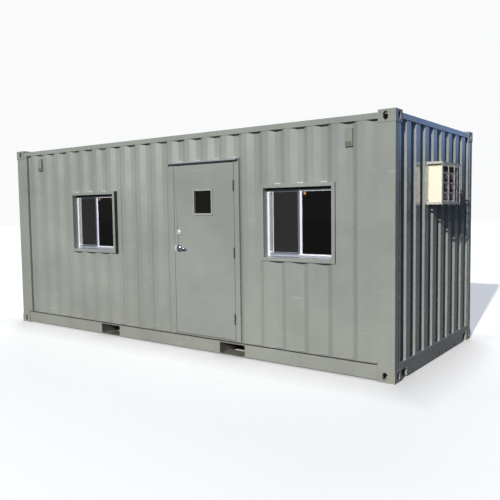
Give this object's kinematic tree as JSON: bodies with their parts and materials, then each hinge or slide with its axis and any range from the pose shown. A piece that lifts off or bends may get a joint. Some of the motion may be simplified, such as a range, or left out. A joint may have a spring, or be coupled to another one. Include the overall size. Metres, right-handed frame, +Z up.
{
  "type": "portable site cabin",
  "caption": "Steel portable site cabin in a 20 ft container frame, with a hinged door, lever, sliding windows, a caged air conditioner and fork pockets.",
  "frame": {"origin": "centre of the footprint on the ground, midway between the corner castings' lower faces", "axes": "+X along the length to the end with the air conditioner, -Y out of the wall with the door, +Z up"},
  "size_m": [6.213, 2.502, 2.591],
  "materials": {
    "paint": "semi-gloss grey-green paint",
    "underframe_paint": "dull dark grey-green paint",
    "plywood": "worn sealed plywood",
    "lining": "matt off-white laminate panels",
    "window_aluminium": "mill finish aluminium",
    "drip_metal": "bright galvanised sheet",
    "glazing": "dark tinted glass",
    "lock_chrome": "satin chrome",
    "lock_brass": "tarnished brass",
    "hinge_steel": "dark grimy steel",
    "ac_case": "cream baked enamel",
    "coil": "dirty dark aluminium fins",
    "cage_paint": "light grey-beige paint",
    "hood_paint": "semi-gloss grey-green paint"
  },
  "bodies": {
    "cabin": {"bottom_corner_castings": "paint", "top_corner_castings": "paint", "corner_posts": "paint", "front_bottom_rail": "paint", "back_bottom_rail": "paint", "bottom_end_rails": "paint", "top_side_rails": "paint", "top_end_rails": "paint", "roof": "paint", "roof_ends": "paint", "front_wall_left": "paint", "front_wall_middle": "paint", "front_wall_by_door": "paint", "front_wall_right": "paint", "wall_over_door": "paint", "left_window_panels": "paint", "right_window_panels": "paint", "back_wall": "paint", "left_end_wall": "paint", "right_end_wall": "paint", "window_surround_jambs": "paint", "window_surround_rails": "paint", "door_jambs": "paint", "door_head": "paint", "ac_sleeve": "paint", "cross_members": "underframe_paint", "fork_pockets": "underframe_paint", "floor": "plywood", "ceiling": "lining", "front_lining": "lining", "back_lining": "lining", "end_linings": "lining", "window_frame_jambs": "window_aluminium", "window_frame_rails": "window_aluminium", "fixed_sashes": "window_aluminium", "sliding_sashes": "window_aluminium", "threshold": "window_aluminium", "drip_cap": "drip_metal", "window_panes": "glazing", "frame_hinge_halves": "hinge_steel", "air_conditioner": "ac_case", "ac_coil": "coil", "ac_cage_grid": "cage_paint", "ac_cage_sides": "cage_paint", "ventilator_hoods": "hood_paint"},
    "door": {"door_leaf": "paint", "door_lite_trim": "paint", "door_lite_pane": "glazing", "latch_guard": "lock_chrome", "lever_roses": "lock_chrome", "deadbolt": "lock_brass", "door_hinge_halves": "hinge_steel"},
    "lever": {"door_lever": "lock_chrome"}
  },
  "joints": [
    {"name": "door_hinge", "type": "hinge", "parent": "cabin", "child": "door", "pos_m": [1.1345, -1.23, 1.189], "axis": [0, 0, 1], "range_deg": [0, 165]},
    {"name": "lever_turn", "type": "hinge", "parent": "door", "child": "lever", "pos_m": [0.294, -1.221, 1.219], "axis": [0, 1, 0], "range_deg": [0, 45], "stiffness_Nm_per_rad": 1.2, "springref_deg": -20.05}
  ]
}
